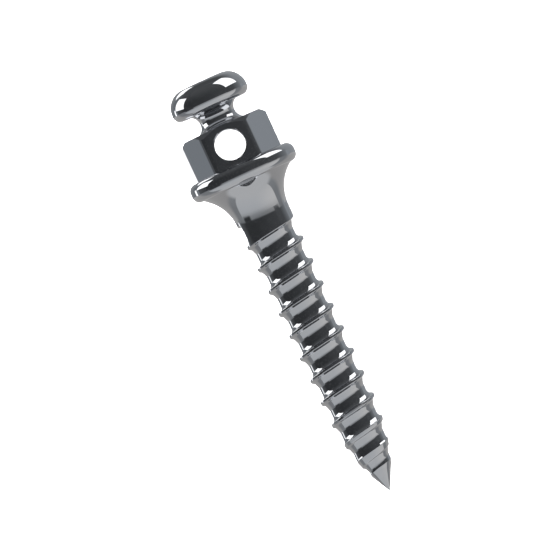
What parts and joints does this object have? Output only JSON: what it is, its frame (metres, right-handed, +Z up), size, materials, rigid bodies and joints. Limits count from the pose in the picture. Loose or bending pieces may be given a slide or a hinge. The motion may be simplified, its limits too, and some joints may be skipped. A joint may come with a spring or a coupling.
{
  "type": "orthodontic mini screw",
  "caption": "One-piece self-drilling bone screw: button head over a neck groove, hexagon with a cross hole, round flange, flared collar and tapered right-hand thread.",
  "frame": {"origin": "middle of the floor area under the screw as it lies at rest", "axes": "+X along the screw from the head to the point, +Z up; the wire hole opens upwards, rolled 13.6 degrees towards +Y and leaning with the screw by its resting tilt"},
  "size_m": [0.0128, 0.0032, 0.0032],
  "materials": {
    "polished_titanium": "mirror polished"
  },
  "bodies": {
    "root": {"mini_screw": "polished_titanium"}
  },
  "joints": []
}
